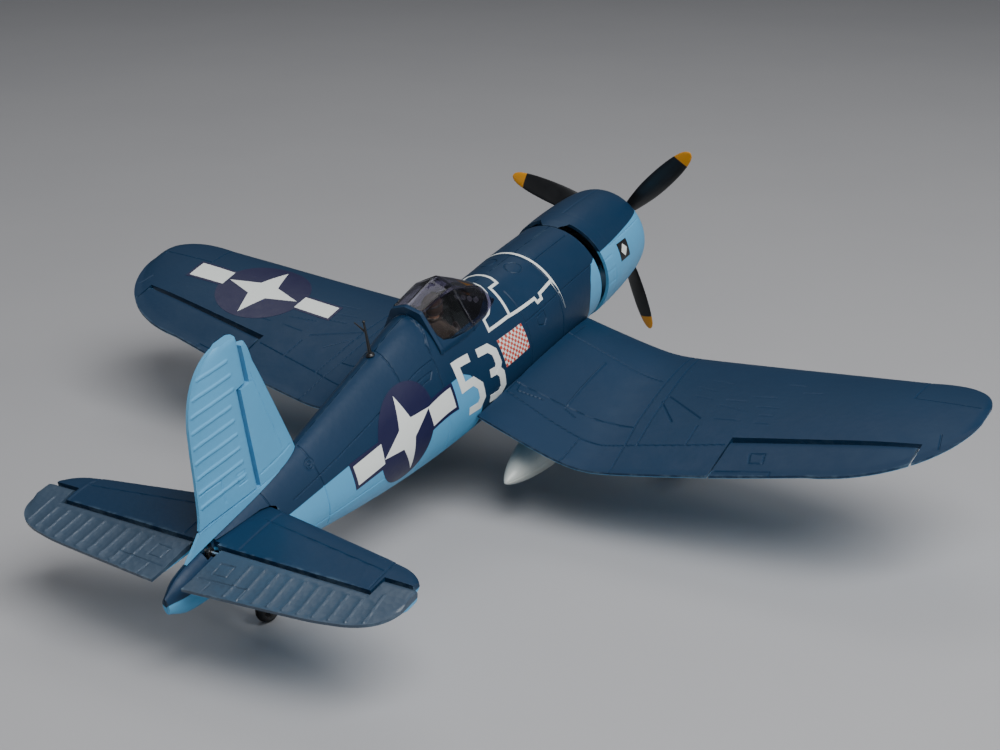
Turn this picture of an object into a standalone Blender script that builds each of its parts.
"""RC warbird plane: a micro moulded-foam fighter with an inverted gull wing, built as an assembly of its pieces.

Airframe coordinates, in millimetres: x to port, s aft from the propeller disc, z up from the thrust line.
The whole airframe hangs on an empty that pitches it nose up until its three wheels stand on z = 0.
"""

import math

import bmesh
import bpy
from mathutils import Matrix, Vector

MM = 0.001
GAP = 0.3  # between pieces that rest on each other
SEAM = 0.15  # each foam half stops this far from the centre plane

# Ground stance
PITCH_DEG = 12.0
DATUM_Y = -147.23  # moves the airframe so that its box is centred on the origin
TRACK_HALF = 60.0
MAIN_AXLE_S, MAIN_AXLE_Z, MAIN_TYRE_R = 70.0, -63.5, 12.5
TAIL_AXLE_S, TAIL_TYRE_R = 266.0, 5.5

# Fuselage: station, half width, top, bottom, height of the widest point
HULL = (
    (56.0, 23.0, 23.0, -23.2, 0.0),
    (80.0, 23.0, 24.4, -25.8, -0.5),
    (112.0, 21.6, 25.8, -27.6, -1.0),
    (135.0, 19.9, 29.6, -28.0, -1.5),
    (163.0, 17.7, 35.2, -26.6, -2.0),
    (190.0, 15.7, 30.2, -23.4, -2.5),
    (215.0, 13.3, 25.4, -19.2, -2.0),
    (240.0, 10.6, 20.5, -14.2, -0.5),
    (265.0, 7.9, 16.4, -9.6, 1.5),
    (290.0, 5.7, 12.6, -6.0, 2.8),
    (304.0, 4.2, 10.4, -3.8, 3.2),
    (311.0, 1.4, 6.5, 0.2, 3.4),
)
HULL_SIDES = 28
HULL_WALL = 2.5
NOSE_S, TAIL_S = HULL[0][0], HULL[-1][0]
CAVITY_END_S = 300.0

# Wing
HALF_SPAN = 200.0
WING_ROOT_X = 8.0
WING_LE = ((0.0, 64.6), (23.5, 63.0), (60.0, 59.7), (75.0, 59.6), (120.0, 63.0), (172.0, 67.3))
WING_TE = ((0.0, 148.6), (17.0, 149.2), (45.0, 150.2), (66.0, 150.0), (80.0, 148.5), (120.0, 143.6), (150.0, 138.6))
TIP_S = 88.0
GULL_X, GULL_Z, GULL_INNER, GULL_OUTER, GULL_RADIUS = 60.0, -29.6, -0.36, 0.155, 10.0
FOIL_THICK = ((0.0, 13.0), (60.0, 11.4), (120.0, 8.8), (165.0, 6.4), (200.0, 3.0))
FOIL_CAMBER = 0.012
TE_THICK = 1.1
AILERON_X = (113.3, 184.3)
AILERON_HINGE_S = (125.0, 115.4)
HINGE_SLOT = 1.5
JOINER_S, JOINER_Z, JOINER_R, JOINER_HALF = 118.0, -15.2, 1.5, 26.0

# Tail
TAIL_Z = 10.4
STAB_HALF = 80.5
STAB_LE = ((0.0, 258.2), (6.5, 259.0), (28.0, 262.4), (66.0, 268.8))
STAB_TE = ((0.0, 309.0), (7.0, 308.6), (44.0, 305.6), (62.0, 304.0))
STAB_THICK = 4.4
ELEVATOR_HINGE_S, ELEVATOR_ROOT_X, HORN_X, HORN_S = 288.2, 6.4, 67.2, 280.4
FIN_THICK = 4.6
RUDDER_HINGE_S, RUDDER_FOOT_Z, RUDDER_HORN_Z, RUDDER_HORN_S = 261.6, 19.4, 58.2, 256.2
FIN_TOP_Z = 76.7
FIN_LE = ((8.0, 229.0), (16.0, 235.0), (21.0, 236.4), (25.0, 237.4), (50.0, 244.6), (63.0, 248.6))
FIN_TE = ((8.0, 303.0), (14.0, 296.0), (18.5, 290.0), (34.0, 286.8), (50.0, 285.0))

# Power unit
COWL = ((8.0, 17.2), (9.2, 19.1), (12.0, 20.7), (18.0, 22.0), (30.0, 23.2), (42.0, 23.8), (55.6, 23.8))
COWL_WALL = 1.4
COWL_GAP_S, COWL_TONGUE_Z = 51.0, 22.8
PROP_R, BLADES, BLADE_PHASE_DEG = 55.0, 3, 16.0

# Control linkages
SURFACE_ARM = 6.0
RUDDER_ARM = 3.0
ELEVATOR_ARM = 5.0
ROD_R, ROD_HOLE_R, LEVER_TIP_R = 0.45, 0.9, 1.7
RUDDER_ROD_R, RUDDER_HOLE_R, RUDDER_TIP_R = 0.4, 0.7, 1.35
AILERON_HORN_X, AILERON_ARM_X, AILERON_ROD_X = 127.7, 125.0, 126.1
AILERON_SERVO_S, RUDDER_SERVO_S, ELEVATOR_SERVO_S = 102.0, 186.0, 172.0
ELEVATOR_LEVER_X, ELEVATOR_ROD_X = -1.7, -2.9

COLOURS = {
    "foam_navy": ((0.020, 0.060, 0.125), 0.55, 0.0),
    "foam_sky": ((0.115, 0.330, 0.560), 0.55, 0.0),
    "clear": ((0.75, 0.78, 0.80), 0.08, 0.0),
    "cockpit": ((0.050, 0.070, 0.050), 0.60, 0.0),
    "pilot": ((0.160, 0.090, 0.050), 0.70, 0.0),
    "black": ((0.012, 0.012, 0.014), 0.40, 0.0),
    "rubber": ((0.020, 0.020, 0.020), 0.85, 0.0),
    "steel": ((0.550, 0.550, 0.560), 0.30, 1.0),
    "alloy": ((0.700, 0.700, 0.720), 0.35, 1.0),
    "grey": ((0.420, 0.440, 0.420), 0.35, 0.0),
    "board": ((0.020, 0.090, 0.160), 0.50, 0.0),
    "battery": ((0.060, 0.120, 0.280), 0.45, 0.0),
    "plywood": ((0.500, 0.330, 0.170), 0.70, 0.0),
    "carbon": ((0.025, 0.025, 0.028), 0.35, 0.0),
}


# ---------------------------------------------------------------- curves and forms


def smooth(table, at, column=1):
    """Reads a table of rows sorted by their first number as one smooth curve."""
    at = min(max(at, table[0][0]), table[-1][0])
    k = next(i for i in range(len(table) - 1) if at <= table[i + 1][0])

    def slope(i):
        low, high = max(i - 1, 0), min(i + 1, len(table) - 1)
        return (table[high][column] - table[low][column]) / (table[high][0] - table[low][0])

    (x0, y0), (x1, y1) = ((table[i][0], table[i][column]) for i in (k, k + 1))
    t, run = (at - x0) / (x1 - x0), x1 - x0
    bend = (2 * t**3 - 3 * t**2 + 1) * y0 + (3 * t**2 - 2 * t**3) * y1
    return bend + (t**3 - 2 * t**2 + t) * run * slope(k) + (t**3 - t**2) * run * slope(k + 1)


def hull_point(s, angle, grow=0.0):
    """A point of the fuselage's skin: angle 0 is its keel and pi its spine, to port where the sine is positive."""
    width, top, bottom, middle = (smooth(HULL, s, column) for column in (1, 2, 3, 4))
    rise = -math.cos(angle)
    aft = min(max((s - 140.0) / 50.0, 0.0), 1.0)
    power = 2.0 - 0.25 * aft if rise > 0 else 2.0
    across = math.copysign(abs(math.sin(angle)) ** (2 / power), math.sin(angle))
    up = math.copysign(abs(rise) ** (2 / power), rise)
    height = (top + grow - middle) if rise > 0 else (middle - bottom + grow)
    return (width + grow) * across, s, middle + height * up


def gull(x):
    """Height of the wing's middle plane: two straight panels joined by a bend."""
    run = abs(x) - GULL_X
    mean, half = (GULL_OUTER + GULL_INNER) / 2, (GULL_OUTER - GULL_INNER) / 2
    return GULL_Z + mean * run + half * math.hypot(run, GULL_RADIUS)


def wing_edges(x):
    """Stations of the wing's leading and trailing edge at x."""
    front = smooth(WING_LE, x)
    back = smooth(WING_TE, x)
    if x > 172.0:
        out = (x - 172.0) / (HALF_SPAN - 172.0)
        front = TIP_S - 20.7 * max(1 - out**2.6, 0.0) ** (1 / 2.6)
    if x > 150.0:
        out = (x - 150.0) / (HALF_SPAN - 150.0)
        back = TIP_S + 50.6 * math.sqrt(max(1 - out**2, 0.0))
    return front, back


def foil_half(fraction):
    """Half thickness of a wing section at a chord fraction, where the thickest place is 0.5."""
    c = min(max(fraction, 0.0), 1.0)
    return 5 * (0.2969 * math.sqrt(c) - 0.1260 * c - 0.3516 * c**2 + 0.2843 * c**3 - 0.1015 * c**4)


def wing_z(x, s, side):
    """Height of the wing's upper (side 1), lower (-1) or middle (0) surface."""
    front, back = wing_edges(x)
    chord = back - front
    fraction = (s - front) / chord
    thick = min(smooth(FOIL_THICK, x), 0.125 * chord)
    edge = min(TE_THICK / 2, thick / 4)
    camber = FOIL_CAMBER * chord * 4 * fraction * (1 - fraction)
    return gull(x) + camber + side * max(foil_half(fraction) * thick, edge * min(1.0, fraction * 8))


def tip_round(x, edge, x0, half, middle, power):
    """Pulls an edge station in to a rounded tip that begins at x0 and ends at half."""
    if x <= x0:
        return edge
    out = (x - x0) / (half - x0)
    return middle + (edge - middle) * max(1 - out**power, 0.0) ** (1 / power)


def stab_edges(x):
    front = tip_round(x, smooth(STAB_LE, x), 60.0, STAB_HALF, 285.0, 2.4)
    back = tip_round(x, smooth(STAB_TE, x), 50.0, STAB_HALF, 285.0, 2.6)
    return front, back


def fin_edges(z):
    front = tip_round(z, smooth(FIN_LE, z), 58.0, FIN_TOP_Z, 261.0, 2.6)
    back = tip_round(z, smooth(FIN_TE, z), 44.0, FIN_TOP_Z, 261.0, 2.3)
    return front, back


def plate_half(s, front, back, thick):
    """Half thickness of a tail surface: a round nose, its thickest at a third, and a thin trailing edge."""
    fraction = min(max((s - front) / max(back - front, 0.1), 0.0), 1.0)
    return max(foil_half(fraction) * thick, min(0.55, (s - front) * 0.5, max(back - front, 0.4) * 0.08))


# ---------------------------------------------------------------- Blender helpers


def clear_scene():
    for item in list(bpy.data.objects):
        bpy.data.objects.remove(item, do_unlink=True)


def collection(name):
    made = bpy.data.collections.new(name)
    bpy.context.scene.collection.children.link(made)
    return made


def material(name):
    found = bpy.data.materials.get(name)
    if found:
        return found
    colour, roughness, metallic = COLOURS[name]
    made = bpy.data.materials.new(name)
    made.use_nodes = True
    shader = made.node_tree.nodes["Principled BSDF"]
    shader.inputs["Base Color"].default_value = (*colour, 1.0)
    shader.inputs["Roughness"].default_value = roughness
    shader.inputs["Metallic"].default_value = metallic
    return made


def empty(name, at, toward=None):
    """A pivot in airframe coordinates, its Z axis along the joint's axis."""
    made = bpy.data.objects.new(name, None)
    PARTS.objects.link(made)
    turn = Vector(toward or (0, 0, 1)).to_track_quat("Z", "Y").to_matrix().to_4x4()
    made.matrix_basis = Matrix.Translation(Vector(at) * MM) @ turn
    made.parent = DATUM
    return made


def finish(made, paint=None, pivot=None, helper=False):
    """Puts an object in its collection, on the datum or on its joint's pivot, with its material."""
    (CUTTERS if helper else PARTS).objects.link(made)
    made.parent = pivot or DATUM
    if pivot:
        made.matrix_parent_inverse = pivot.matrix_basis.inverted()
    if helper:
        made.hide_render = True
        made.display_type = "WIRE"
    if paint:
        made.data.materials.clear()
        made.data.materials.append(material(paint))
    if made.type == "MESH":
        made.data.shade_smooth()
        made.data.set_sharp_from_angle(angle=math.radians(35))
    return made


def mesh_object(name, bm, **where):
    bmesh.ops.recalc_face_normals(bm, faces=bm.faces)
    mesh = bpy.data.meshes.new(name)
    bm.to_mesh(mesh)
    bm.free()
    return finish(bpy.data.objects.new(name, mesh), **where)


def loft(name, rings, **where):
    """A closed skin through rings of equally many points, in millimetres, with both ends capped."""
    bm = bmesh.new()
    rows = [[bm.verts.new(Vector(point) * MM) for point in ring] for ring in rings]
    count = len(rows[0])
    for row, beyond in zip(rows, rows[1:]):
        for i in range(count):
            j = (i + 1) % count
            bm.faces.new((row[i], row[j], beyond[j], beyond[i]))
    bm.faces.new(rows[0])
    bm.faces.new(rows[-1])
    return mesh_object(name, bm, **where)


def box(name, low, high, **where):
    bm = bmesh.new()
    bmesh.ops.create_cube(bm, size=1.0)
    low, high = Vector(low) * MM, Vector(high) * MM
    size = high - low
    bmesh.ops.scale(bm, vec=size, verts=bm.verts)
    bmesh.ops.translate(bm, vec=(low + high) / 2, verts=bm.verts)
    return mesh_object(name, bm, **where)


def rod(name, start, end, radius, end_radius=None, sides=20, **where):
    """A cylinder or cone between two points."""
    start, end = Vector(start) * MM, Vector(end) * MM
    along = end - start
    place = Matrix.Translation((start + end) / 2) @ along.to_track_quat("Z", "Y").to_matrix().to_4x4()
    bm = bmesh.new()
    last = radius if end_radius is None else end_radius
    bmesh.ops.create_cone(bm, cap_ends=True, segments=sides, radius1=radius * MM, radius2=last * MM, depth=along.length)
    bmesh.ops.transform(bm, matrix=place, verts=bm.verts)
    return mesh_object(name, bm, **where)


def turned(name, profile, at, toward=(0, 1, 0), sides=30, **where):
    """A solid of revolution: profile holds (along, radius) pairs round a closed outline, on an axis through at."""
    turn = Vector(toward).to_track_quat("Z", "Y").to_matrix().to_4x4()
    place = Matrix.Translation(Vector(at) * MM) @ turn
    bm = bmesh.new()
    points = [bm.verts.new((radius * MM, 0, along * MM)) for along, radius in profile]
    for a, b in zip(points, points[1:]):
        bm.edges.new((a, b))
    if profile[0][1] > 0 or profile[-1][1] > 0:
        bm.edges.new((points[-1], points[0]))
    mesh = bpy.data.meshes.new(name)
    bm.to_mesh(mesh)
    bm.free()
    draft = bpy.data.objects.new(name + "_profile", mesh)
    bpy.context.scene.collection.objects.link(draft)
    screw = draft.modifiers.new("turn", "SCREW")
    screw.steps = screw.render_steps = sides
    screw.use_merge_vertices = True
    screw.merge_threshold = 0.00001
    screw.use_normal_calculate = True
    solid = bpy.data.meshes.new_from_object(draft.evaluated_get(bpy.context.evaluated_depsgraph_get()))
    bpy.data.objects.remove(draft)
    bm = bmesh.new()
    bm.from_mesh(solid)
    bmesh.ops.remove_doubles(bm, verts=bm.verts, dist=0.00001)
    bmesh.ops.transform(bm, matrix=place, verts=bm.verts)
    return mesh_object(name, bm, **where)


def wire(name, points, radius, paint, pivot=None, sides=2):
    """A bent wire or a rod: a poly curve with a round bevel and filled caps."""
    curve = bpy.data.curves.new(name, "CURVE")
    curve.dimensions = "3D"
    curve.bevel_depth = radius * MM
    curve.bevel_resolution = sides
    curve.use_fill_caps = True
    spline = curve.splines.new("POLY")
    spline.points.add(len(points) - 1)
    for place, point in zip(spline.points, points):
        place.co = (*(Vector(point) * MM), 1)
    curve.materials.append(material(paint))
    return finish(bpy.data.objects.new(name, curve), pivot=pivot)


def boolean(made, operation, other):
    step = made.modifiers.new(operation.lower(), "BOOLEAN")
    step.operation = operation
    step.solver = "EXACT"
    step.object = other
    return made


def cut(made, *cutters):
    for cutter in cutters:
        boolean(made, "DIFFERENCE", cutter)
    return made


def joined(made, *others):
    """Unites helper solids with a piece."""
    for other in others:
        boolean(made, "UNION", other)
    return made


def helper(shape, *args, **where):
    return shape(*args, helper=True, **where)


def lever_outline(length, root, tip, flat=None):
    """A flat lever hanging from its pivot: round at its tip, and at its root unless that is cut off flat."""
    outline = [(root, flat), (-root, flat)] if flat is not None else []
    for middle, radius, start in ((0.0, root, 0.0), (-length, tip, math.pi)):
        if middle < 0 or flat is None:
            angles = [start + math.pi * i / 6 for i in range(7)]
            outline += [(radius * math.cos(a), middle + radius * math.sin(a)) for a in angles]
    return outline


def both_sides(name, make):
    """Makes a port piece and its starboard twin: make takes a node name and the side, 1 or -1."""
    return {side: make(f"{name}_{word}", side) for word, side in (("left", 1), ("right", -1))}


# ---------------------------------------------------------------- fuselage


def hull_stations(start, end, count):
    return [start + (end - start) * i / (count - 1) for i in range(count)]


def hull_solid(name, grow=0.0, start=NOSE_S, end=TAIL_S, **where):
    """The whole fuselage, or a solid that stands off its skin by grow."""
    rings = []
    for s in hull_stations(start, end, 16):
        rings.append([hull_point(s, 2 * math.pi * i / HULL_SIDES, grow) for i in range(HULL_SIDES)])
    return loft(name, rings, helper=True, **where)


def hull_cavity():
    """The hollow inside the halves. Its roof dips under the tailplane's slot, and its walls thin toward the tail."""
    rings = []
    for s in hull_stations(NOSE_S - 1.0, CAVITY_END_S, 16):
        tail = min(max((s - 236.0) / 18.0, 0.0), 1.0)
        roof = 60.0 + (TAIL_Z + 1.6 - 60.0) * tail if s < 246.0 else TAIL_Z + 1.6
        wall = HULL_WALL * (1 - 0.35 * tail)
        ring = [hull_point(s, 2 * math.pi * i / HULL_SIDES, -wall) for i in range(HULL_SIDES)]
        rings.append([(x, s, min(z, roof - 0.001 * abs(x))) for x, s, z in ring])
    return loft("cut_cavity", rings, helper=True)


def frustum(name, low, high):
    """A cutter with sloping sides between two rectangles, each its half width, front, back and height."""
    rings = []
    for half, front, back, z in (low, high):
        rings.append([(-half, front, z), (half, front, z), (half, back, z), (-half, back, z)])
    return loft(name, rings, helper=True)


def hull_half(name, side):
    """One foam half, flat along the centre plane, still solid."""
    rings = []
    for s in hull_stations(NOSE_S, TAIL_S, 20):
        half = [hull_point(s, math.pi * i / (HULL_SIDES // 2)) for i in range(HULL_SIDES // 2 + 1)]
        rings.append([(side * max(x, SEAM), at, z) for x, at, z in half])
    return loft(name, rings, paint="foam_navy")


def make_fuselage():
    cavity = hull_cavity()
    opening = frustum("cut_cockpit", (12.7, 119.3, 159.2, 12.6), (13.5, 118.6, 160.1, 60.0))
    hatch_bay = helper(box, "cut_hatch_bay", (-11.0, 66.0, -40.0), (11.0, 108.0, -14.0))
    joiner_ends = [(side * (JOINER_HALF + 0.5), JOINER_S, JOINER_Z) for side in (-1, 1)]
    joiner = helper(rod, "cut_joiner", *joiner_ends, JOINER_R + GAP)
    slot = helper(box, "cut_stab_slot", (-20.0, 257.0, TAIL_Z - 2.7), (20.0, 287.4, TAIL_Z + 2.6))
    post = helper(rod, "cut_post", (0, RUDDER_HINGE_S, 1), (0, RUDDER_HINGE_S, 19.0), 1.2)
    tail_bush = helper(rod, "cut_tail_bush", (0, RUDDER_HINGE_S, -14), (0, RUDDER_HINGE_S, -2.5), 3.0, sides=18)
    cross = helper(rod, "cut_elevator_joiner", (-9, ELEVATOR_HINGE_S, TAIL_Z), (9, ELEVATOR_HINGE_S, TAIL_Z), 1.4)

    joined(slot, helper(box, "cut_horn_slot", (-3.35, 284.7, 8.6), (-0.45, 291.6, 15.0)))
    inner = hull_solid("ledge_limit", grow=-1.0)

    def ledge(name, side, s0, s1, z0, z1):
        """A foam shelf across one half that carries what is glued to it."""
        low, high = (side * (SEAM + GAP), s0, z0), (side * 30.0, s1, z1)
        made = helper(box, f"add_{name}", sorted_low(low, high), sorted_high(low, high))
        return boolean(made, "INTERSECT", inner)

    def half(name, side):
        made = cut(hull_half(name, side), slot, post, tail_bush, cross, cavity, opening)
        joined(made, ledge(f"battery_shelf_{name}", side, 64.0, 112.0, 2.3, 4.3))
        joined(made, ledge(f"receiver_shelf_{name}", side, 121.0, 149.0, -6.6, -4.3))
        joined(made, ledge(f"rudder_shelf_{name}", side, 178.5, 193.5, -13.6, -11.3))
        if side > 0:
            joined(made, ledge(f"elevator_shelf_{name}", side, 163.0, 178.0, 3.2, 5.3))
        return cut(made, hatch_bay, joiner)

    both_sides("fuselage", half)

    hatch = hull_solid("battery_hatch_form")
    lid = box("battery_hatch", (-10.7, 66.3, -35.0), (10.7, 107.7, -14.3), paint="foam_navy", pivot=PIVOTS["hatch"])
    boolean(lid, "INTERSECT", hatch)
    cut(lid, cavity)


def make_canopy():
    """A clear hood of flat panes and its windscreen in one moulding, open below and resting on the foam."""
    shape = (  # station, half width at the sill and at the shoulder, height of the shoulder and of the ridge
        (111.0, 9.6, 4.0, 21.0, 22.0),
        (120.0, 12.0, 5.2, 27.2, 28.8),
        (130.0, 14.0, 6.2, 32.4, 35.3),
        (139.5, 14.8, 7.2, 37.2, 40.9),
        (144.0, 15.0, 7.4, 38.2, 41.3),
        (151.0, 14.8, 7.0, 37.9, 40.3),
        (162.5, 14.0, 6.6, 36.8, 38.7),
    )

    def straight(s, column):
        s = min(max(s, shape[0][0]), shape[-1][0])
        for a, b in zip(shape, shape[1:]):
            if s <= b[0]:
                return a[column] + (b[column] - a[column]) * (s - a[0]) / (b[0] - a[0])

    def rings(inset, start, end):
        made = []
        for s in [start, *(row[0] for row in shape if start < row[0] < end), end]:
            sill, shoulder, shoulder_z, top = (straight(s, column) - inset for column in (1, 2, 3, 4))
            half = ((shoulder, shoulder_z), (sill, 22.5), (sill, 12.0))
            outline = [(0.0, top), *half, *((-x, z) for x, z in reversed(half))]
            made.append([(x, s, z) for x, z in outline])
        return made

    hood = loft("canopy", rings(0.0, 111.0, 162.5), paint="clear")
    inside = helper(loft, "cut_canopy_inside", rings(0.8, 108.0, 161.6))
    seat = hull_solid("cut_canopy_seat", grow=0.4, start=100.0, end=180.0)
    low = helper(box, "cut_canopy_low", (-30, 100, -10), (30, 180, 17.0))
    cut(hood, inside, seat, low)


def make_cockpit():
    tub = box("cockpit_tub", (-12.2, 120.0, 13.6), (12.2, 158.6, 21.5), paint="cockpit")
    well = helper(box, "cut_tub_well", (-11.2, 121.0, 14.8), (11.2, 157.6, 40.0))
    rest = helper(box, "add_headrest", (-4.2, 155.6, 20.6), (4.2, 158.2, 33.0))
    dash = helper(box, "add_dash", (-8.6, 120.2, 20.9), (8.6, 124.4, 24.6))
    joined(cut(tub, well), rest, dash)

    def ball(name, at, size, **where):
        bm = bmesh.new()
        bmesh.ops.create_uvsphere(bm, u_segments=12, v_segments=8, radius=1.0)
        bmesh.ops.scale(bm, vec=Vector(size) * MM, verts=bm.verts)
        bmesh.ops.translate(bm, vec=Vector(at) * MM, verts=bm.verts)
        return mesh_object(name, bm, **where)

    bust = ball("pilot", (0, 146.5, 20.6), (7.4, 4.6, 5.4), paint="pilot")
    head = ball("add_head", (0, 145.0, 30.0), (3.5, 4.1, 4.4), helper=True)
    neck = helper(rod, "add_neck", (0, 146, 22), (0, 145.4, 28), 2.2)
    joined(bust, neck, head)
    cut(bust, helper(box, "cut_bust_foot", (-12, 130, 0), (12, 160, 15.2)))


def make_antenna():
    mast = rod("antenna_mast", (0, 187.0, 28.0), (0, 187.6, 46.0), 0.9, 0.45, sides=12, paint="black")
    cut(mast, hull_solid("cut_mast_foot", grow=0.4, start=170.0, end=200.0))


# ---------------------------------------------------------------- wing


def wing_ring(x, side, points=11):
    front, back = wing_edges(x)
    fractions = [(1 - math.cos(math.pi * i / (points - 1))) / 2 for i in range(points)]
    stations = [front + (back - front) * f for f in fractions]
    upper = [(side * x, s, wing_z(x, s, 1)) for s in reversed(stations)]
    lower = [(side * x, s, wing_z(x, s, -1)) for s in stations[1:]]
    return upper + lower


def hinge_point(x):
    """A point of the aileron's hinge line, in the middle of the wing."""
    (x0, x1), (s0, s1) = AILERON_X, AILERON_HINGE_S
    z0, z1 = (wing_z(end, at, 0) for end, at in zip(AILERON_X, AILERON_HINGE_S))
    t = (x - x0) / (x1 - x0)
    return s0 + (s1 - s0) * t, z0 + (z1 - z0) * t


def nose_ring(front_s, front_z, radius, along):
    """Five points round a movable surface's nose, then its lower and upper faces to the trailing edge."""
    ring = []
    for i in range(5):
        angle = math.pi * (0.5 + i / 4)
        ring.append((front_s + radius * math.cos(angle), front_z + radius * math.sin(angle)))
    return ring + [(s, low) for s, low, _ in along] + [(s, high) for s, _, high in reversed(along)]


def aileron_ring(x, side):
    s0, z0 = hinge_point(x)
    _, back = wing_edges(x)
    radius = (wing_z(x, s0, 1) - wing_z(x, s0, -1)) / 2 - 0.05
    along = []
    for f in (0.35, 0.7, 1.0):
        s = s0 + (back - s0) * f
        along.append((s, wing_z(x, s, -1), wing_z(x, s, 1)))
    return [(side * x, s, z) for s, z in nose_ring(s0, z0, radius, along)]


def make_wing():
    root = hull_solid("cut_wing_root", grow=0.4)
    joiner = bpy.data.objects["cut_joiner"]
    spans = [WING_ROOT_X, 20, 32, 42, 50, 56, 62, 68, 76, 90, 113.3, 140, 160, 172, 180, 187, 192, 196, 198.4, 199.7]

    def panel(name, side):
        made = loft(name, [wing_ring(x, side) for x in spans], paint="foam_navy")
        (x0, x1), (s0, s1) = AILERON_X, AILERON_HINGE_S
        nose = [(wing_z(x, s, 1) - wing_z(x, s, -1)) / 2 + HINGE_SLOT for x, s in zip(AILERON_X, AILERON_HINGE_S)]
        corners = [(x0, s0 - nose[0]), (x1, s1 - nose[1]), (x1, 160), (x0, 160)]
        bay = helper(loft, f"cut_bay_{name}", [[(side * x, s, z) for x, s in corners] for z in (-45, 10)])
        servo = helper(
            box,
            f"cut_servo_{name}",
            sorted_low((side * 113.7, 92.7, -40), (side * 127.0, 107.3, -16.3)),
            sorted_high((side * 113.7, 92.7, -40), (side * 127.0, 107.3, -16.3)),
        )
        block = (side * 47.7, 66.7, -40), (side * 60.3, 81.3, -26.2)
        pocket = helper(box, f"cut_gear_{name}", sorted_low(*block), sorted_high(*block))
        return cut(made, root, joiner, bay, servo, pocket)

    both_sides("wing", panel)
    ends = (-JOINER_HALF, JOINER_S, JOINER_Z), (JOINER_HALF, JOINER_S, JOINER_Z)
    rod("wing_joiner", *ends, JOINER_R, paint="carbon")


def sorted_low(a, b):
    return tuple(min(pair) for pair in zip(a, b))


def sorted_high(a, b):
    return tuple(max(pair) for pair in zip(a, b))


def make_ailerons():
    clearance = 0.8
    stations = [AILERON_X[0] + clearance, 130, 150, 160, 168, 176, AILERON_X[1] - clearance]

    def aileron(name, side):
        return loft(name, [aileron_ring(x, side) for x in stations], paint="foam_navy", pivot=PIVOTS[name])

    both_sides("aileron", aileron)

    hinge_s, hinge_z = hinge_point(AILERON_HORN_X)
    rod_z = hinge_z - SURFACE_ARM

    def servo(name, side):
        case = (side * 114, 93, -24.4), (side * 123.5, 107, -17.3)
        return box(name, sorted_low(*case), sorted_high(*case), paint="black")

    both_sides("aileron_servo", servo)

    def lever(name, side, at_s, x, pivot, root, flat):
        rings = []
        for across in (x - 0.6, x + 0.6):
            outline = lever_outline(SURFACE_ARM, root, LEVER_TIP_R, flat)
            rings.append([(side * across, at_s + a, hinge_z + b) for a, b in outline])
        hole_ends = [(side * (x + push), at_s, rod_z) for push in (-2, 2)]
        hole = helper(rod, f"cut_hole_{name}", *hole_ends, ROD_HOLE_R, sides=14)
        return cut(loft(name, rings, paint="black", pivot=pivot), hole)

    def horn(name, side):
        half = hinge_z - wing_z(AILERON_HORN_X, hinge_s, -1)
        pivot = PIVOTS["aileron_" + name.rsplit("_", 1)[1]]
        return lever(name, side, hinge_s, AILERON_HORN_X, pivot, 2.4, -half - 0.4)

    def arm(name, side):
        return lever(name, side, AILERON_SERVO_S, AILERON_ARM_X, PIVOTS[name], 1.6, None)

    both_sides("aileron_horn", horn)
    both_sides("aileron_arm", arm)

    def pushrod(name, side):
        servo_end = (AILERON_ARM_X - 1.0, AILERON_SERVO_S), (AILERON_ROD_X, AILERON_SERVO_S)
        horn_end = (AILERON_ROD_X, hinge_s), (AILERON_HORN_X + 1.1, hinge_s)
        points = [(side * x, s, rod_z) for x, s in servo_end + horn_end]
        return wire(name, points, ROD_R, "steel", pivot=PIVOTS[name])

    both_sides("aileron_pushrod", pushrod)


# ---------------------------------------------------------------- tail


def plate_ring(front, back, edges, thick, to_point, points=9):
    """The section of a fixed tail surface between two stations of a whole section."""
    stations = [front + (back - front) * (1 - math.cos(math.pi * i / (points - 1) / 2)) for i in range(points)]
    halves = [plate_half(s, *edges, thick) for s in stations]
    halves[0] = min(halves[0], 0.25)
    top = [to_point(s, half) for s, half in zip(reversed(stations), reversed(halves))]
    return top + [to_point(s, -half) for s, half in zip(stations[1:], halves[1:])]


def moving_ring(nose, edges, thick, to_point):
    """The section of a movable tail surface: a round nose on its hinge, tapering to the trailing edge."""
    back = edges[1]
    radius = max(min(plate_half(nose, *edges, thick) - 0.05, (back - nose) / 2), 0.3)
    along = []
    for f in (0.4, 0.8, 1.0):
        s = nose + (back - nose) * f
        half = min(plate_half(s, *edges, thick), radius)
        along.append((s, -half, half))
    return [to_point(s, z) for s, z in nose_ring(nose, 0.0, radius, along)]


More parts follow.
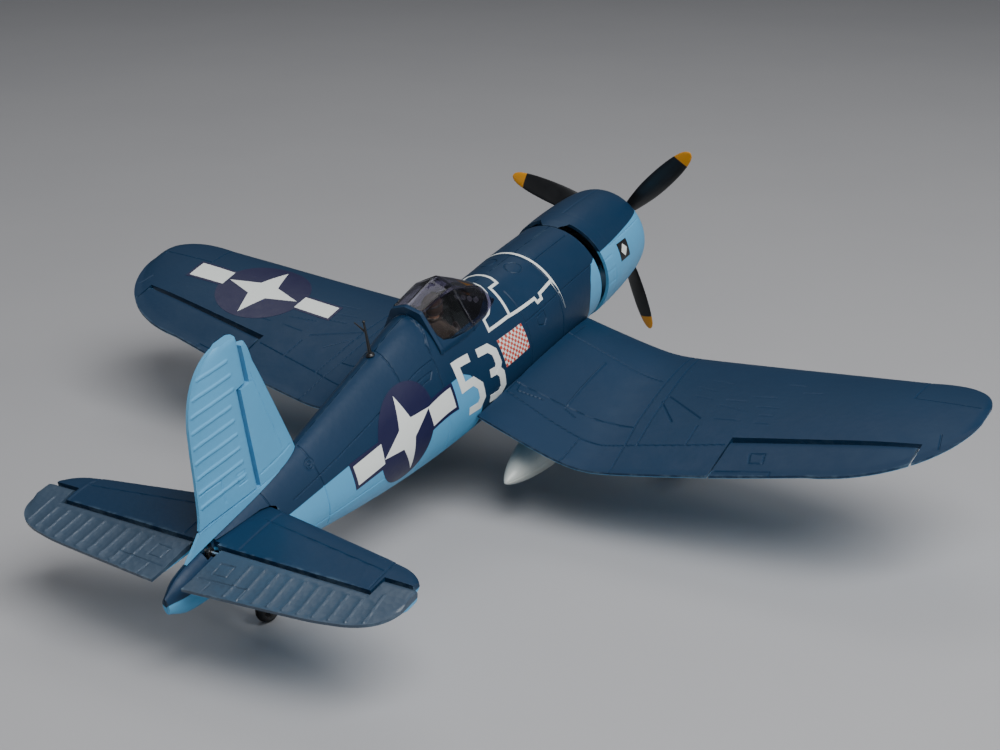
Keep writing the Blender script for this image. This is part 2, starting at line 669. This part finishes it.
def make_tailplane():
    aft = ELEVATOR_HINGE_S - STAB_THICK / 2 - 0.2
    stations = [0.0, 20.0, 45.0, 60.0, HORN_X - 0.9, HORN_X - 0.5, 71.0, 75.0, 77.6]
    rings = []
    for side in (-1, 1):
        for x in stations[::-1] if side < 0 else stations[1:]:
            edges = stab_edges(x)
            back = aft if x < HORN_X - 0.6 else HORN_S - 1.9
            rings.append(plate_ring(edges[0], back, edges, STAB_THICK, lambda s, z, x=x * side: (x, s, TAIL_Z + z)))
    cut(loft("stabiliser", rings, paint="foam_navy"), bpy.data.objects["cut_post"])

    joiner_bore = helper(
        rod, "cut_elevator_bore", (-13, ELEVATOR_HINGE_S, TAIL_Z), (13, ELEVATOR_HINGE_S, TAIL_Z), 1.1, sides=12
    )

    def elevator(name, side):
        made = []
        for x in (ELEVATOR_ROOT_X, 25.0, 45.0, 60.0, HORN_X, HORN_X + 0.5, 71.0, 75.0, 78.0, 79.6, 80.2):
            edges = stab_edges(x)
            nose = ELEVATOR_HINGE_S if x <= HORN_X else max(HORN_S, edges[0]) + 0.8
            made.append(moving_ring(nose, edges, STAB_THICK, lambda s, z, x=x * side: (x, s, TAIL_Z + z)))
        return cut(loft(name, made, paint="foam_navy", pivot=PIVOTS["elevator"]), joiner_bore)

    both_sides("elevator", elevator)
    wire(
        "elevator_joiner",
        [(-12, ELEVATOR_HINGE_S, TAIL_Z), (12, ELEVATOR_HINGE_S, TAIL_Z)],
        0.75,
        "steel",
        pivot=PIVOTS["elevator"],
    )
    lever_yz("elevator_horn", ELEVATOR_HINGE_S, PIVOTS["elevator"], 1.05)
    lever_yz("elevator_arm", ELEVATOR_SERVO_S, PIVOTS["elevator_arm"], None)
    ends = (ELEVATOR_SERVO_S, ELEVATOR_HINGE_S)
    points = [(-1.0, ends[0]), (ELEVATOR_ROD_X, ends[0]), (ELEVATOR_ROD_X, ends[1]), (-0.8, ends[1])]
    points = [(x, s, TAIL_Z - ELEVATOR_ARM) for x, s in points]
    wire("elevator_pushrod", points, ROD_R, "steel", pivot=PIVOTS["elevator_pushrod"])
    box("elevator_servo", (-0.5, 164.5, 5.6), (7.0, 176.5, 15.0), paint="black")


def lever_yz(name, s, pivot, bore):
    """A flat lever of the elevator's linkage, hanging down from its pivot in the plane across x."""
    x, low = ELEVATOR_LEVER_X, TAIL_Z - ELEVATOR_ARM
    outline = lever_outline(ELEVATOR_ARM, 1.7, LEVER_TIP_R - 0.1)
    rings = [[(across, s + a, TAIL_Z + b) for a, b in outline] for across in (x - 0.5, x + 0.5)]
    made = loft(name, rings, paint="black", pivot=pivot)
    cut(made, helper(rod, f"cut_hole_{name}", (x - 2, s, low), (x + 2, s, low), ROD_HOLE_R - 0.05, sides=14))
    if bore:
        cut(made, helper(rod, f"cut_bore_{name}", (x - 2, s, TAIL_Z), (x + 2, s, TAIL_Z), bore, sides=14))
    return made


def make_fin():
    cove = RUDDER_HINGE_S - FIN_THICK / 2 - 0.4
    rings = []
    for z in (9.0, 13.0, 16.0, RUDDER_FOOT_Z - 0.9, RUDDER_FOOT_Z - 0.5, 25.0, 35.0, 48.0, 57.2, 57.6, 63.0, 68.0, 71.4):
        edges = fin_edges(z)
        if z < RUDDER_FOOT_Z - 0.6:
            back = edges[1]
        elif z < 57.4:
            back = cove
        else:
            back = RUDDER_HORN_S - 2.2
        rings.append(plate_ring(edges[0], back, edges, FIN_THICK, lambda s, x, z=z: (x, s, z)))
    fin = loft("fin", rings, paint="foam_sky")
    cut(fin, hull_solid("cut_fin_foot", grow=GAP, start=200.0), bpy.data.objects["cut_post"])

    made = []
    for z in (RUDDER_FOOT_Z, 30.0, 45.0, RUDDER_HORN_Z, RUDDER_HORN_Z + 0.5, 63.0, 68.0, 72.0, 74.6, 76.2):
        edges = fin_edges(z)
        nose = RUDDER_HINGE_S if z <= RUDDER_HORN_Z else max(RUDDER_HORN_S, edges[0]) + 0.9
        made.append(moving_ring(nose, edges, FIN_THICK, lambda s, x, z=z: (x, s, z)))
    rudder = loft("rudder", made, paint="foam_sky", pivot=PIVOTS["rudder"])
    bore = helper(rod, "cut_rudder_bore", (0, RUDDER_HINGE_S, 10), (0, RUDDER_HINGE_S, 28), 1.1, sides=12)
    cut(rudder, bore)


def make_tail_wheel():
    """The rudder's post runs down through the tail and ends as the tail wheel's axle."""
    path = [(0, RUDDER_HINGE_S, 27), (0, RUDDER_HINGE_S, -15), (0.8, RUDDER_HINGE_S + 0.4, -17)]
    path += [(3.2, 263.4, -20), (3.4, 264.6, -23), (3.4, TAIL_AXLE_S, TAIL_AXLE_Z), (-2.9, TAIL_AXLE_S, TAIL_AXLE_Z)]
    wire("rudder_post", path, 0.75, "steel", pivot=PIVOTS["rudder"])
    turned(
        "tail_bush",
        [(-5.6, 1.1), (-5.6, 2.4), (-10.9, 2.4), (-10.9, 3.6), (-12.1, 3.6), (-12.1, 1.1)],
        (0, RUDDER_HINGE_S, 0),
        toward=(0, 0, 1),
        sides=20,
        paint="black",
    )
    tyre = [(-1.2, 3.3), (1.2, 3.3), (2.0, 4.2), (1.6, 5.1), (0.7, TAIL_TYRE_R), (-0.7, TAIL_TYRE_R), (-1.6, 5.1), (-2.0, 4.2)]
    turned("tail_tyre", tyre, TAIL_AXLE, toward=(1, 0, 0), sides=20, paint="rubber", pivot=PIVOTS["tail_wheel"])
    hub = [(-1.7, 1.1), (1.7, 1.1), (1.7, 2.0), (1.0, 3.0), (-1.0, 3.0), (-1.7, 2.0)]
    turned("tail_hub", hub, TAIL_AXLE, toward=(1, 0, 0), sides=14, paint="black", pivot=PIVOTS["tail_wheel"])

    def lever_xy(name, s, bore, pivot):
        """A flat lever of the rudder's linkage, reaching to port from a vertical pivot."""
        outline = lever_outline(RUDDER_ARM, 1.8, RUDDER_TIP_R)
        rings = [[(-b, s + a, up) for a, b in outline] for up in (-0.5, 0.5)]
        made = loft(name, rings, paint="black", pivot=pivot)
        ends = (RUDDER_ARM, s, -2), (RUDDER_ARM, s, 2)
        cut(made, helper(rod, f"cut_hole_{name}", *ends, RUDDER_HOLE_R, sides=14))
        if bore:
            cut(made, helper(rod, f"cut_bore_{name}", (0, s, -2), (0, s, 2), bore, sides=14))
        return made

    lever_xy("rudder_horn", RUDDER_HINGE_S, 1.05, PIVOTS["rudder"])
    lever_xy("rudder_arm", RUDDER_SERVO_S, None, PIVOTS["rudder_arm"])
    path = [(RUDDER_SERVO_S, -0.75), (RUDDER_SERVO_S, 1.2), (RUDDER_HINGE_S, 1.2), (RUDDER_HINGE_S, -0.9)]
    points = [(RUDDER_ARM, s, z) for s, z in path]
    wire("rudder_pushrod", points, RUDDER_ROD_R, "steel", pivot=PIVOTS["rudder_pushrod"])
    box("rudder_servo", (-5.0, 180.0, -11.0), (4.0, 192.0, -1.3), paint="black")


# ---------------------------------------------------------------- power unit


def make_power_unit():
    inner = [(s, r - COWL_WALL) for s, r in COWL[2:]]
    lip = [(10.6, 16.0), (8.6, 16.4)]
    cowl = turned("cowl", [*COWL, *reversed(inner), *lip], (0, 0, 0), sides=36, paint="foam_navy")
    slot = helper(box, "cut_cowl_slot", (-30, COWL_GAP_S, -30), (30, 57, COWL_TONGUE_Z))
    cut(cowl, slot)

    engine = turned(
        "dummy_engine",
        [(13, 3.2), (14, 5.0), (19.0, 7.2), (20.4, 9.5), (34, 9.5), (34, 3.2)],
        (0, 0, 0),
        sides=18,
        paint="grey",
    )
    for i in range(9):
        angle = 2 * math.pi * (i + 0.5) / 9
        inner_end = (8.8 * math.sin(angle), 24.5, 8.8 * math.cos(angle))
        outer_end = (20.4 * math.sin(angle), 24.5, 20.4 * math.cos(angle))
        joined(engine, helper(rod, f"add_cylinder_{i}", inner_end, outer_end, 2.9, sides=10))

    turned("firewall", [(58.2, 3.0), (58.2, 19.6), (56.6, 19.6), (56.6, 3.0)], (0, 0, 0), sides=24, paint="plywood")
    stator = [(42.0, 2.2), (42.0, 8.4), (52.0, 8.4), (52.0, 11.5), (54.2, 11.5), (54.2, 6.4), (56.3, 6.4), (56.3, 2.2)]
    turned("motor_stator", stator, (0, 0, 0), sides=18, paint="alloy")
    bell = [(38.4, 1.6), (38.4, 9.4), (39.4, 10.6), (51.2, 10.6), (51.2, 9.2), (40.6, 9.2), (40.6, 1.6)]
    turned("motor_bell", bell, (0, 0, 0), sides=20, paint="black", pivot=PIVOTS["propeller"])
    rod("prop_shaft", (0, -6.8, 0), (0, 55.0, 0), 1.25, sides=16, paint="steel", pivot=PIVOTS["propeller"])
    nut = [(-10.6, 0.0), (-10.4, 1.4), (-9.0, 3.0), (-7.0, 4.0), (-4.9, 4.4), (-4.4, 4.4), (-4.4, 1.6), (-7.2, 1.6), (-7.2, 0.0)]
    turned("spinner_nut", nut, (0, 0, 0), sides=16, paint="black", pivot=PIVOTS["propeller"])
    make_propeller()


def make_propeller():
    """Three twisted blades on a hub, moulded as one piece."""
    blade = (
        (3.0, 4.6, 46.0, 3.4),
        (8.0, 5.2, 42.0, 2.8),
        (14.0, 7.6, 36.0, 2.2),
        (24.0, 9.8, 27.0, 1.7),
        (34.0, 10.0, 21.0, 1.4),
        (44.0, 8.8, 17.0, 1.1),
        (51.0, 6.4, 15.0, 0.9),
        (54.0, 3.8, 14.5, 0.7),
        (PROP_R, 1.4, 14.0, 0.6),
    )
    hub = turned(
        "propeller",
        [(-4.0, 1.6), (-4.0, 4.6), (3.4, 5.2), (4.4, 4.4), (4.4, 1.6)],
        (0, 0, 0),
        sides=18,
        paint="black",
        pivot=PIVOTS["propeller"],
    )
    for i in range(BLADES):
        phase = math.radians(BLADE_PHASE_DEG + 360 * i / BLADES)
        out = Vector((math.cos(phase), 0, math.sin(phase)))
        around = Vector((-math.sin(phase), 0, math.cos(phase)))
        rings = []
        for radius, chord, twist, thick in blade:
            turn = -math.radians(twist)
            flat = around * math.cos(turn) + Vector((0, 1, 0)) * math.sin(turn)
            across = Vector((0, 1, 0)) * math.cos(turn) - around * math.sin(turn)
            ring = []
            for k in range(8):
                angle = 2 * math.pi * k / 8
                ring.append(out * radius + flat * (chord / 2 * math.cos(angle)) + across * (thick / 2 * math.sin(angle)))
            rings.append(ring)
        joined(hub, helper(loft, f"add_blade_{i}", rings))


def make_electronics():
    box("battery", (-9.0, 68.0, -10.0), (9.0, 108.0, 2.0), paint="battery")
    box("receiver", (-8.5, 123.0, -4.0), (8.5, 147.0, 2.0), paint="board")


# ---------------------------------------------------------------- landing gear and stores


def make_landing_gear():
    def strut(name, side):
        block = (side * 48, 67, -34.6), (side * 60, 81, -26.5)
        made = box(name, sorted_low(*block), sorted_high(*block), paint="grey")
        x, s = side * 54.0, 74.0
        upper = helper(rod, f"add_upper_{name}", (x, s, -33), (x, s - 2.2, -49), 2.9, sides=16)
        lower = helper(rod, f"add_lower_{name}", (x, s - 2.0, -48), (x, MAIN_AXLE_S, MAIN_AXLE_Z), 1.9, sides=16)
        axle = (side * 51.4, MAIN_AXLE_S, MAIN_AXLE_Z), (side * 56.2, MAIN_AXLE_S, MAIN_AXLE_Z)
        boss = helper(rod, f"add_boss_{name}", *axle, 3.0, sides=16)
        bore_ends = [(side * at, MAIN_AXLE_S, MAIN_AXLE_Z) for at in (45, 60)]
        return cut(joined(made, upper, lower, boss), helper(rod, f"cut_axle_{name}", *bore_ends, 1.3, sides=14))

    both_sides("gear_strut", strut)

    def wheel_part(profile, paint, sides):
        def make(name, side):
            body = "wheel_" + name.rsplit("_", 1)[1]
            pivot = PIVOTS[body] if "axle" not in name else None
            at = (side * TRACK_HALF, MAIN_AXLE_S, MAIN_AXLE_Z)
            return turned(name, profile, at, toward=(side, 0, 0), sides=sides, paint=paint, pivot=pivot)

        return make

    pin = [(-9.9, 0.0), (-9.9, 1.9), (-8.9, 1.9), (-8.9, 1.0), (3.4, 1.0), (3.4, 1.9), (4.6, 1.9), (4.6, 0.0)]
    both_sides("axle", wheel_part(pin, "steel", 14))
    tyre = [(-2.6, 7.6), (2.6, 7.6), (3.5, 9.0), (3.4, 10.6), (2.4, 12.0), (1.0, MAIN_TYRE_R)]
    tyre += [(-1.0, MAIN_TYRE_R), (-2.4, 12.0), (-3.4, 10.6), (-3.5, 9.0)]
    both_sides("tyre", wheel_part(tyre, "rubber", 26))
    hub = [(-3.0, 1.3), (3.0, 1.3), (3.0, 2.8), (1.4, 4.0), (1.6, 6.4), (2.6, 7.2), (-2.6, 7.2), (-1.6, 6.4), (-1.4, 4.0), (-3.0, 2.8)]
    both_sides("wheel_hub", wheel_part(hub, "alloy", 16))


def make_stores():
    """A drop tank under each inner wing panel, hung on a short pylon."""
    tank_x, tank_z, nose_s, tail_s, radius = 30.0, -38.6, 86.0, 155.0, 8.6
    profile = []
    for i in range(13):
        t = i / 12
        profile.append((nose_s + (tail_s - nose_s) * t, radius * (2.6 * math.sqrt(t) * (1 - t) ** 0.75) ** 0.92))
    profile = [(s, min(r, radius)) for s, r in profile]
    profile[0], profile[-1] = (nose_s, 0.0), (tail_s, 0.0)

    def tank(name, side):
        return turned(name, profile, (side * tank_x, 0, tank_z), sides=20, paint="grey")

    both_sides("drop_tank", tank)

    def pylon(name, side):
        rings = []
        for z in (-34.0, -20.0):
            outline = [(0, 96), (1.6, 100), (1.8, 110), (1.3, 120), (0, 126), (-1.3, 120), (-1.8, 110), (-1.6, 100)]
            rings.append([(side * (tank_x + a), s, z) for a, s in outline])
        made = loft(name, rings, paint="foam_navy")
        swell = [(s, r + GAP) for s, r in profile]
        swell[0], swell[-1] = (nose_s - GAP, 0.0), (tail_s + GAP, 0.0)
        saddle = helper(turned, f"cut_saddle_{name}", swell, (side * tank_x, 0, tank_z), sides=20)
        skin = helper(loft, f"cut_skin_{name}", [[(p[0], p[1], p[2] - GAP) for p in wing_ring(x, side)] for x in (14, 22, 30, 38, 46)])
        return cut(made, saddle, skin)

    both_sides("pylon", pylon)


# ---------------------------------------------------------------- assembly


clear_scene()
PARTS = collection("rc_warbird_plane")
CUTTERS = collection("cutters")
CUTTERS.hide_render = False

up_s, up_z = -math.sin(math.radians(PITCH_DEG)), math.cos(math.radians(PITCH_DEG))
GROUND = up_s * MAIN_AXLE_S + up_z * MAIN_AXLE_Z - MAIN_TYRE_R
TAIL_AXLE_Z = (GROUND + TAIL_TYRE_R - up_s * TAIL_AXLE_S) / up_z
TAIL_AXLE = (0, TAIL_AXLE_S, TAIL_AXLE_Z)
MAIN_AXLES = {side: (side * TRACK_HALF, MAIN_AXLE_S, MAIN_AXLE_Z) for side in (1, -1)}

DATUM = bpy.data.objects.new("airframe_datum", None)
PARTS.objects.link(DATUM)
DATUM.rotation_euler = (math.radians(-PITCH_DEG), 0, 0)
DATUM.location = (0, DATUM_Y * MM, -GROUND * MM)

hinge_in, hinge_out = ((x, *hinge_point(x)) for x in AILERON_X)
hinge_run = Vector(hinge_out) - Vector(hinge_in)
rod_z = hinge_point(AILERON_HORN_X)[1] - SURFACE_ARM
PIVOTS = {
    "propeller": empty("pivot_propeller", (0, 0, 0), (0, -1, 0)),
    "aileron_left": empty("pivot_aileron_left", hinge_in, hinge_run),
    "aileron_right": empty(
        "pivot_aileron_right", (-hinge_in[0], *hinge_in[1:]), (-hinge_run.x, hinge_run.y, hinge_run.z)
    ),
    "elevator": empty("pivot_elevator", (0, ELEVATOR_HINGE_S, TAIL_Z), (1, 0, 0)),
    "elevator_arm": empty("pivot_elevator_arm", (ELEVATOR_LEVER_X, ELEVATOR_SERVO_S, TAIL_Z), (1, 0, 0)),
    "elevator_pushrod": empty(
        "pivot_elevator_pushrod", (ELEVATOR_ROD_X, ELEVATOR_SERVO_S, TAIL_Z - ELEVATOR_ARM), (0, 1, 0)
    ),
    "rudder": empty("pivot_rudder", (0, RUDDER_HINGE_S, RUDDER_FOOT_Z), (0, 0, 1)),
    "rudder_arm": empty("pivot_rudder_arm", (0, RUDDER_SERVO_S, 0), (0, 0, 1)),
    "rudder_pushrod": empty("pivot_rudder_pushrod", (RUDDER_ARM, RUDDER_SERVO_S, 1.2), (0, 1, 0)),
    "tail_wheel": empty("pivot_tail_wheel", TAIL_AXLE, (1, 0, 0)),
    "wheel_left": empty("pivot_wheel_left", MAIN_AXLES[1], (1, 0, 0)),
    "wheel_right": empty("pivot_wheel_right", MAIN_AXLES[-1], (1, 0, 0)),
    "hatch": empty("pivot_hatch", (0, 87.0, -26.0), (0, 0, -1)),
}

for word, side in (("left", 1), ("right", -1)):
    arm_at = (side * AILERON_ARM_X, AILERON_SERVO_S, rod_z + SURFACE_ARM)
    rod_at = (side * AILERON_ROD_X, AILERON_SERVO_S, rod_z)
    PIVOTS[f"aileron_arm_{word}"] = empty(f"pivot_aileron_arm_{word}", arm_at, (1, 0, 0))
    PIVOTS[f"aileron_pushrod_{word}"] = empty(f"pivot_aileron_pushrod_{word}", rod_at, (0, 1, 0))

make_fuselage()
make_canopy()
make_cockpit()
make_antenna()
make_wing()
make_ailerons()
make_tailplane()
make_fin()
make_tail_wheel()
make_power_unit()
make_electronics()
make_landing_gear()
make_stores()
